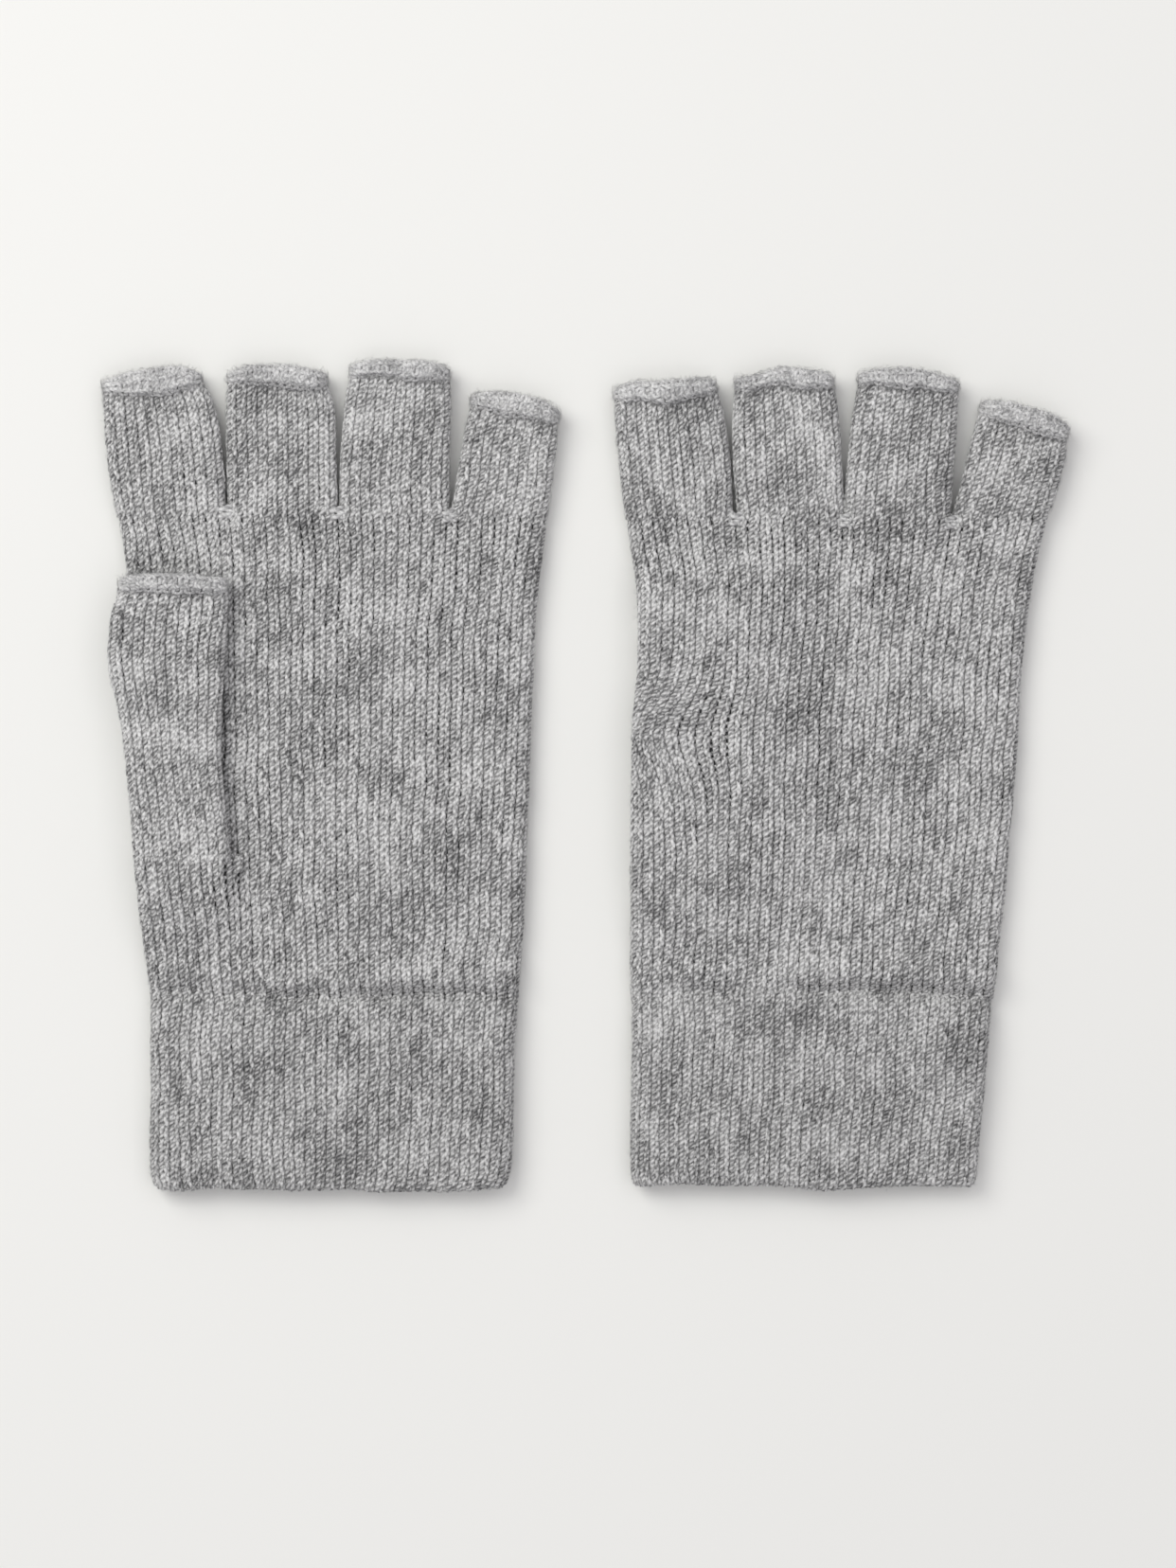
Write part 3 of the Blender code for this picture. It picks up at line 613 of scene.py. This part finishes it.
def wool(name, dark, light, sheen=0.35, deep=0.0):
    """Marl yarn: pale and dark fibres twisted together, mottled along the yarn, with a soft nap.

    deep paints shade into the colour: the top of the yarn stays light, its sides are painted darker and its back
    darkest."""
    mat = bpy.data.materials.new(name)
    mat.use_nodes = True
    tree = mat.node_tree
    shader = tree.nodes["Principled BSDF"]
    link = tree.links.new
    shader.inputs["Roughness"].default_value = 0.92
    shader.inputs["Specular IOR Level"].default_value = 0.18
    shader.inputs["Sheen Weight"].default_value = sheen
    shader.inputs["Sheen Roughness"].default_value = 0.45
    shader.inputs["Sheen Tint"].default_value = (0.95, 0.95, 0.96, 1)
    place = node(tree, "ShaderNodeTexCoord")
    uv = node(tree, "ShaderNodeUVMap", uv_map="yarn")
    split = node(tree, "ShaderNodeSeparateXYZ")
    link(uv.outputs["UV"], split.inputs[0])

    def math_node(op, a, b=None):
        m = node(tree, "ShaderNodeMath", operation=op)
        for i, v in enumerate((a, b)):
            if v is None:
                continue
            if isinstance(v, (int, float)):
                m.inputs[i].default_value = v
            else:
                link(v, m.inputs[i])
        return m.outputs[0]

    # twist of the plies
    phase = math_node("ADD", math_node("MULTIPLY", split.outputs["X"], 2 * math.pi / 1.35),
                      math_node("MULTIPLY", split.outputs["Y"], 4 * math.pi))
    ply = math_node("MULTIPLY_ADD", math_node("SINE", phase), 0.5)
    ply_node = ply.node
    ply_node.inputs[2].default_value = 0.5
    # mottling along the yarn, and finer flecks
    strand = node(tree, "ShaderNodeCombineXYZ")
    link(math_node("MULTIPLY", split.outputs["X"], 1.1), strand.inputs[0])
    link(math_node("MULTIPLY", phase, 1.5), strand.inputs[1])
    fibre = node(tree, "ShaderNodeTexNoise")
    fibre.inputs["Scale"].default_value = 1.0
    fibre.inputs["Detail"].default_value = 4.0
    fibre.inputs["Roughness"].default_value = 0.7
    link(strand.outputs[0], fibre.inputs["Vector"])
    combine = node(tree, "ShaderNodeCombineXYZ")
    link(math_node("MULTIPLY", split.outputs["X"], 0.16), combine.inputs[0])
    link(math_node("MULTIPLY", split.outputs["Y"], 0.5), combine.inputs[1])
    slub = node(tree, "ShaderNodeTexNoise")
    slub.inputs["Scale"].default_value = 1.0
    slub.inputs["Detail"].default_value = 3.0
    slub.inputs["Roughness"].default_value = 0.62
    link(combine.outputs[0], slub.inputs["Vector"])
    fleck = node(tree, "ShaderNodeTexNoise")
    fleck.inputs["Scale"].default_value = 1500.0
    fleck.inputs["Detail"].default_value = 2.0
    link(place.outputs["Object"], fleck.inputs["Vector"])
    cloud = node(tree, "ShaderNodeTexNoise")
    cloud.inputs["Scale"].default_value = 85.0
    cloud.inputs["Detail"].default_value = 3.0
    link(place.outputs["Object"], cloud.inputs["Vector"])
    total = math_node("ADD", math_node("MULTIPLY", slub.outputs["Fac"], 0.85),
                      math_node("ADD", math_node("MULTIPLY", fleck.outputs["Fac"], 0.25),
                                math_node("MULTIPLY", cloud.outputs["Fac"], 0.40)))
    total = math_node("ADD", total, math_node("MULTIPLY", ply, 0.20))
    total = math_node("ADD", total, math_node("MULTIPLY", fibre.outputs["Fac"], 0.70))
    ramp = node(tree, "ShaderNodeMapRange", interpolation_type="SMOOTHSTEP")
    link(total, ramp.inputs["Value"])
    ramp.inputs["From Min"].default_value = 0.92
    ramp.inputs["From Max"].default_value = 1.42
    mix = node(tree, "ShaderNodeMix", data_type="RGBA")
    link(ramp.outputs["Result"], mix.inputs["Factor"])
    mix.inputs["A"].default_value = (*dark, 1)
    mix.inputs["B"].default_value = (*light, 1)
    if deep:
        # painted shade: 1 on top of the yarn, less round its sides, least at its back
        painted_light_round_yarn = math_node("COSINE", math_node("MULTIPLY", math_node("SUBTRACT", split.outputs["Y"], 0.25), 2 * math.pi))
        painted_shade_factor = math_node("MULTIPLY_ADD", painted_light_round_yarn, deep / 2)
        painted_shade_factor.node.inputs[2].default_value = 1 - deep / 2
        painted_shade_colour = node(tree, "ShaderNodeVectorMath", operation="SCALE")
        link(mix.outputs["Result"], painted_shade_colour.inputs[0])
        link(painted_shade_factor, painted_shade_colour.inputs["Scale"])
        link(painted_shade_colour.outputs[0], shader.inputs["Base Color"])
    else:
        link(mix.outputs["Result"], shader.inputs["Base Color"])
    # relief: plies and stray fibres
    height = math_node("ADD", math_node("MULTIPLY", ply, 0.55), math_node("MULTIPLY", fibre.outputs["Fac"], 1.1))
    bump = node(tree, "ShaderNodeBump")
    bump.inputs["Strength"].default_value = 0.8
    bump.inputs["Distance"].default_value = 0.0003
    link(height, bump.inputs["Height"])
    link(bump.outputs["Normal"], shader.inputs["Normal"])
    return mat


def backing_wool(name, dark, light):
    """The purl side seen inside the tubes: rows of small bumps. Given near-black colours it serves as painted shade
    between the loops.
    """
    mat = bpy.data.materials.new(name)
    mat.use_nodes = True
    tree = mat.node_tree
    shader = tree.nodes["Principled BSDF"]
    link = tree.links.new
    shader.inputs["Roughness"].default_value = 0.95
    shader.inputs["Specular IOR Level"].default_value = 0.15
    shader.inputs["Sheen Weight"].default_value = 0.2
    shader.inputs["Sheen Roughness"].default_value = 0.5
    place = node(tree, "ShaderNodeTexCoord")
    scale = node(tree, "ShaderNodeMapping")
    scale.inputs["Scale"].default_value = (1 / 0.0028, 1 / 0.0019, 1 / 0.0028)
    link(place.outputs["Object"], scale.inputs["Vector"])
    bumps = node(tree, "ShaderNodeTexVoronoi")
    bumps.inputs["Scale"].default_value = 1.0
    bumps.inputs["Randomness"].default_value = 0.35
    link(scale.outputs[0], bumps.inputs["Vector"])
    fine = node(tree, "ShaderNodeTexNoise")
    fine.inputs["Scale"].default_value = 1300.0
    fine.inputs["Detail"].default_value = 2.0
    link(place.outputs["Object"], fine.inputs["Vector"])
    mixed = node(tree, "ShaderNodeMath", operation="MULTIPLY_ADD")
    link(bumps.outputs["Distance"], mixed.inputs[0])
    mixed.inputs[1].default_value = -0.8
    link(fine.outputs["Fac"], mixed.inputs[2])
    ramp = node(tree, "ShaderNodeMapRange")
    link(mixed.outputs[0], ramp.inputs["Value"])
    ramp.inputs["From Min"].default_value = -0.3
    ramp.inputs["From Max"].default_value = 0.6
    mix = node(tree, "ShaderNodeMix", data_type="RGBA")
    link(ramp.outputs["Result"], mix.inputs["Factor"])
    mix.inputs["A"].default_value = (*dark, 1)
    mix.inputs["B"].default_value = (*light, 1)
    link(mix.outputs["Result"], shader.inputs["Base Color"])
    bump = node(tree, "ShaderNodeBump")
    bump.inputs["Strength"].default_value = 0.8
    bump.inputs["Distance"].default_value = 0.0006
    link(mixed.outputs[0], bump.inputs["Height"])
    link(bump.outputs["Normal"], shader.inputs["Normal"])
    return mat


# both knits carry painted shade (deep=0.68): their yarn is painted darker down its sides and at its back
KNIT = wool("Marl knit", (0.095, 0.095, 0.096), (0.89, 0.89, 0.88), deep=0.68)
CUFF_KNIT = wool("Marl cuff knit", (0.085, 0.085, 0.086), (0.83, 0.83, 0.82), deep=0.68)
# the curled edges are a lighter copy of the yarn: partly the fuzzier purl side, partly painted light where the raised
# curls face the lamp
EDGE = wool("Marl curled edge", (0.40, 0.40, 0.402), (0.92, 0.92, 0.91), sheen=0.6)
SEAM = wool("Marl seam yarn", (0.30, 0.30, 0.302), (0.86, 0.86, 0.85), sheen=0.4)
FIBRE = wool("Marl stray fibres", (0.50, 0.50, 0.502), (0.93, 0.93, 0.92), sheen=0.6)
# painted shade: a near-black backing behind the loops, so the gaps between the stitches look shadowed
SHADE_BACKING = backing_wool("Painted shade behind the knit", (0.03, 0.03, 0.031), (0.11, 0.11, 0.11))
INSIDE = backing_wool("Marl turned-in layer", (0.16, 0.16, 0.161), (0.50, 0.50, 0.495))


def world(x, y, z):
    return ((x - CENTRE[0]) * MM, (y - CENTRE[1]) * MM, z * MM)


def loop_yarn(batch, points, radius, slot=0, closed=True, sides=6, seed=0):
    """A short length of yarn through points, rounded with a Catmull-Rom curve."""
    p = np.array(points, float)
    n = len(p)
    out = []
    spans = n if closed else n - 1
    for i in range(spans):
        a, b, c, d = (p[(i + k) % n] if closed else p[min(max(i + k, 0), n - 1)] for k in (-1, 0, 1, 2))
        for t in np.arange(0, 1, 0.2):
            out.append(0.5 * (2 * b + (c - a) * t + (2 * a - 5 * b + 4 * c - d) * t * t
                              + (3 * b - a - 3 * c + d) * t ** 3))
    if not closed:
        out.append(p[-1])
    path = np.array(out)[None]
    up = np.zeros_like(path)
    up[..., 2] = 1
    up[..., 0] = 0.13
    yarn(batch, path, up, radius, slot, closed, sides, offset=seed * 7.3, flat=1.0)


def glove(side):
    hand, per, courses = hand_grid(side)
    s = side + "_"
    seed = 1000 if side == "left" else 2000
    def fat(base):
        if side == "left":
            return 1.0
        return 1 + 0.30 * np.exp(-((base[..., 0] - 27) / 7.0) ** 2 - ((base[..., 1] - 11) / 9.0) ** 2) * (base[..., 2] > 6)

    # hand: three bands of courses, so that each stays a light mesh
    cuts = [0, courses // 3, 2 * courses // 3, courses]
    for n, (a, b) in enumerate(zip(cuts, cuts[1:])):
        batch = Batch()
        knit(batch, hand, per, WALES["hand"], a, b, seed, fat=fat)
        piece = batch.make(f"{s}hand_knit_{n + 1}", [KNIT])
        if n == 0:
            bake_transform(piece)
            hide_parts(s + "hand_tube")
        else:
            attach(piece, s + "hand")
        if n == 1:
            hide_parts(s + "thumb_gusset")
    batch = Batch()
    fuzz(batch, hand, 5500, seed + 50)
    piece = batch.make(s + "hand_fibres", [FIBRE])
    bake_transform(piece)
    batch = Batch()
    # the backing under the hand knit is painted dark as the shade seen between the loops
    shell(batch, hand[2:], -0.6, -1.15, 0)
    piece = batch.make(s + "hand_backing", [SHADE_BACKING])
    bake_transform(piece)

    # cuff
    cuff, per, courses, outer = cuff_grid(side)
    half_way = (outer + courses) // 2
    for n, (a, b) in enumerate(((outer, half_way), (half_way, courses))):
        batch = Batch()
        knit(batch, cuff, per, WALES["hand"], a, b, seed + 100)
        fuzz(batch, cuff, 1200, seed + 110 + n, slot=1, rows=(a / courses, b / courses))
        piece = batch.make(f"{s}cuff_knit_{n + 1}", [CUFF_KNIT, FIBRE])
        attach(piece, s + "cuff")
        if n == 0:
            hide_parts(s + "cuff_outer")
    batch = Batch()
    knit(batch, cuff, per, WALES["hand"], 0, outer, seed + 200)
    piece = batch.make(s + "cuff_facing_knit", [CUFF_KNIT])
    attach(piece, s + "cuff")
    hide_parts(s + "cuff_facing")
    batch = Batch()
    rows = cuff.shape[0]
    shell(batch, cuff[per * (outer + 1):-2], -0.6, -1.15, 0)
    # the turned-in layer goes on up to the seam
    inner = cuff[0]
    depth = np.linspace(WRIST_Y - 1.6, inner[:, 1].mean(), 26)
    wall = np.repeat(inner[None], len(depth), axis=0)
    wall[..., 1] = depth[:, None]
    wall[..., 1], wall[..., 2] = crease(wall[..., 0], wall[..., 1], wall[..., 2], 31 if side == "left" else 41)
    shell(batch, wall, -0.2, -0.7, 1, step=(1, 3))
    piece = batch.make(s + "cuff_backing", [SHADE_BACKING, INSIDE])
    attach(piece, s + "cuff")
    # linking seam: a row of small chained loops round the inside of the wrist
    batch = Batch()
    ring = cuff[-1]
    mid = ring[:, [0, 2]].mean(axis=0)
    count = ring.shape[0]
    u = np.arange(WALES["hand"] * 8) / 8.0
    base = sample(ring[None].repeat(2, axis=0), np.zeros_like(u)[None], (u / WALES["hand"] * count)[None])[0]
    inward = np.stack([mid[0] - base[:, 0], 0 * u, mid[1] - base[:, 2]], 1)
    inward[:, 0] = np.clip(inward[:, 0], -2, 2)
    inward /= np.linalg.norm(inward, axis=1, keepdims=True)
    path = base + inward * 1.6
    path[:, 1] = WRIST_Y - 1.3 + 0.6 * np.sin(2 * math.pi * u)
    yarn(batch, path[None], -inward[None], 0.5, 0, True, 5)
    piece = batch.make(s + "cuff_seam_yarn", [SEAM])
    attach(piece, s + "cuff")
    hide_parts(s + "cuff_seam")

    # fingers and thumb
    for name in (*FINGER[side], "thumb"):
        if name == "thumb":
            grid, per, courses, body = thumb_grid(side)
            nodes = (s + "thumb_tube", s + "thumb_edge")
            start, end = world(0, THUMB_ROOT_Y - 1.5, 8), world(0, THUMB_ROOT_Y + 10.0, 8)
        else:
            grid, per, courses, body = finger_grid(side, name)
            nodes = (s + name + "_finger", s + name + "_edge")
            start, end = world(0, KNUCKLE_Y[side] - 0.2, 5), world(0, KNUCKLE_Y[side] + 9.0, 5)
        index = list(FINGER[side]).index(name) if name in FINGER[side] else 5
        batch = Batch()
        knit(batch, grid, per, WALES[name], 0, body, seed + 300 + index)
        fuzz(batch, grid, 700, seed + 320 + index, slot=2, rows=(0.02, body / courses))
        shell(batch, grid[: per * body - 2], -0.55, -1.05, 1)
        tube = batch.make(s + name + "_knit", [KNIT, SHADE_BACKING, FIBRE])
        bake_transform(tube)
        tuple(start)
        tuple(end)
        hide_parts(nodes[0])
        batch = Batch()
        knit(batch, grid, per, WALES[name], body, courses, seed + 400 + index, radius=YARN * 1.04, loose=1.5, lift=0.5)
        fuzz(batch, grid, 1100, seed + 420 + index, slot=1, face=-1.0, rows=(body / courses, 1.0), length=(1.2, 2.6),
             stand=0.4)
        shell(batch, grid[per * body - 2:], 0.35, 0.75, 0)
        edge = batch.make(s + name + "_curl", [EDGE, FIBRE])
        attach(edge, s + name)
        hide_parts(nodes[1])

    # closing stitches: short tight strands drawn down into the knit
    def surface_at(x, y, under=False):
        count = hand.shape[1] // 2
        part = hand[:, count + 8:-8] if under else hand[:, 8:count - 8]
        gap = (part[..., 0] - x) ** 2 + (part[..., 1] - y) ** 2
        return float(part[..., 2].ravel()[np.argmin(gap)])

    places = {label: (x, y - 0.4, 0.0) for label, (x, y) in STITCH[side].items()}
    cx, half = (float(v[0]) for v in thumb_at(side, np.array([THUMB_ROOT_Y])))
    places["thumb"] = (cx + half + 1.4, THUMB_ROOT_Y - 2.6, 0.9)
    rng = np.random.default_rng(seed + 77)
    for label, (x, y, turn) in places.items():
        batch = Batch()
        below = label == "thumb" and side == "right"
        z, face = surface_at(x, y, below) + (0.1 if below else 1.35), -1 if below else 1
        for k in range(4):
            dx, dy = rng.uniform(-0.5, 0.5), 1.2 - 0.8 * k + rng.uniform(-0.1, 0.1)
            wide_by, bend_by = rng.uniform(1.3, 2.0), rng.uniform(-0.5, -0.2)
            across = [(t * wide_by, bend_by * (1 - t * t) + 0.32 * math.sin(3.1 * t + 2.6 * k))
                      for t in (-1.5, -1.0, -0.4, 0.2, 0.8, 1.5)]
            co, si = math.cos(turn), math.sin(turn)
            points = [(x + dx + px * co - py * si, y + dy + px * si + py * co,
                       z + 0.25 * math.cos(3.1 * px / wide_by + 2.6 * k)
                       - face * 0.9 * max(0.0, abs(px) / wide_by - 0.7))
                      for px, py in across]
            loop_yarn(batch, points, 0.62, closed=False, seed=k)
        piece = batch.make(s + "crotch_" + label, [SEAM if label != "thumb" else KNIT])
        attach(piece, s + "hand")
        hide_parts(s + "stitch_" + label)


for which in ("left", "right"):
    glove(which)


# ---------------------------------------------------------------- floor, light and camera
def floor():
    bpy.ops.mesh.primitive_plane_add(size=16.0, location=(0, 0, 0))
    plane = bpy.context.active_object
    plane.name = "Table"
    mat = bpy.data.materials.new("Pale table")
    mat.use_nodes = True
    shader = mat.node_tree.nodes["Principled BSDF"]
    shader.inputs["Base Color"].default_value = (0.865, 0.868, 0.84, 1)
    shader.inputs["Roughness"].default_value = 0.9
    shader.inputs["Specular IOR Level"].default_value = 0.1
    plane.data.materials.append(mat)


def area_light(name, place, aim, size, power, colour=(1, 1, 1)):
    data = bpy.data.lights.new(name, "AREA")
    data.shape = "RECTANGLE"
    data.size, data.size_y = size
    data.energy = power
    data.color = colour
    obj = bpy.data.objects.new(name, data)
    obj.location = place
    obj.rotation_mode = "QUATERNION"
    obj.rotation_quaternion = (Vector(aim) - Vector(place)).to_track_quat("-Z", "Y")
    bpy.context.scene.collection.objects.link(obj)
    return obj


floor()
area_light("Key", (-0.77, 0.61, 1.22), (0, 0, 0), (0.95, 0.95), 11.7, (1.0, 1.0, 0.965))
area_light("Fill", (0.25, 0.0, 1.9), (0, 0, 0), (2.2, 2.2), 12.5, (0.99, 0.985, 1.0))
world_data = bpy.data.worlds.new("Studio")
bpy.context.scene.world = world_data
world_data.use_nodes = True
background = world_data.node_tree.nodes["Background"]
background.inputs["Color"].default_value = (1.0, 0.975, 1.015, 1)
background.inputs["Strength"].default_value = 0.43
bpy.context.scene.view_settings.view_transform = "Standard"
bpy.context.scene.view_settings.look = "None"

camera_data = bpy.data.cameras.new("Camera")
camera = bpy.data.objects.new("Camera", camera_data)
bpy.context.scene.collection.objects.link(camera)
DISTANCE, VIEW_HEIGHT = 1.2, 0.414  # how far the camera is, and how much height it sees at the gloves
camera_data.sensor_fit = "AUTO"
camera_data.sensor_width = 36.0
camera_data.lens = 36.0 * DISTANCE / VIEW_HEIGHT
camera.location = (0.00044, -0.00304, DISTANCE + 0.008)
camera.rotation_euler = (0, 0, 0)
bpy.context.scene.camera = camera
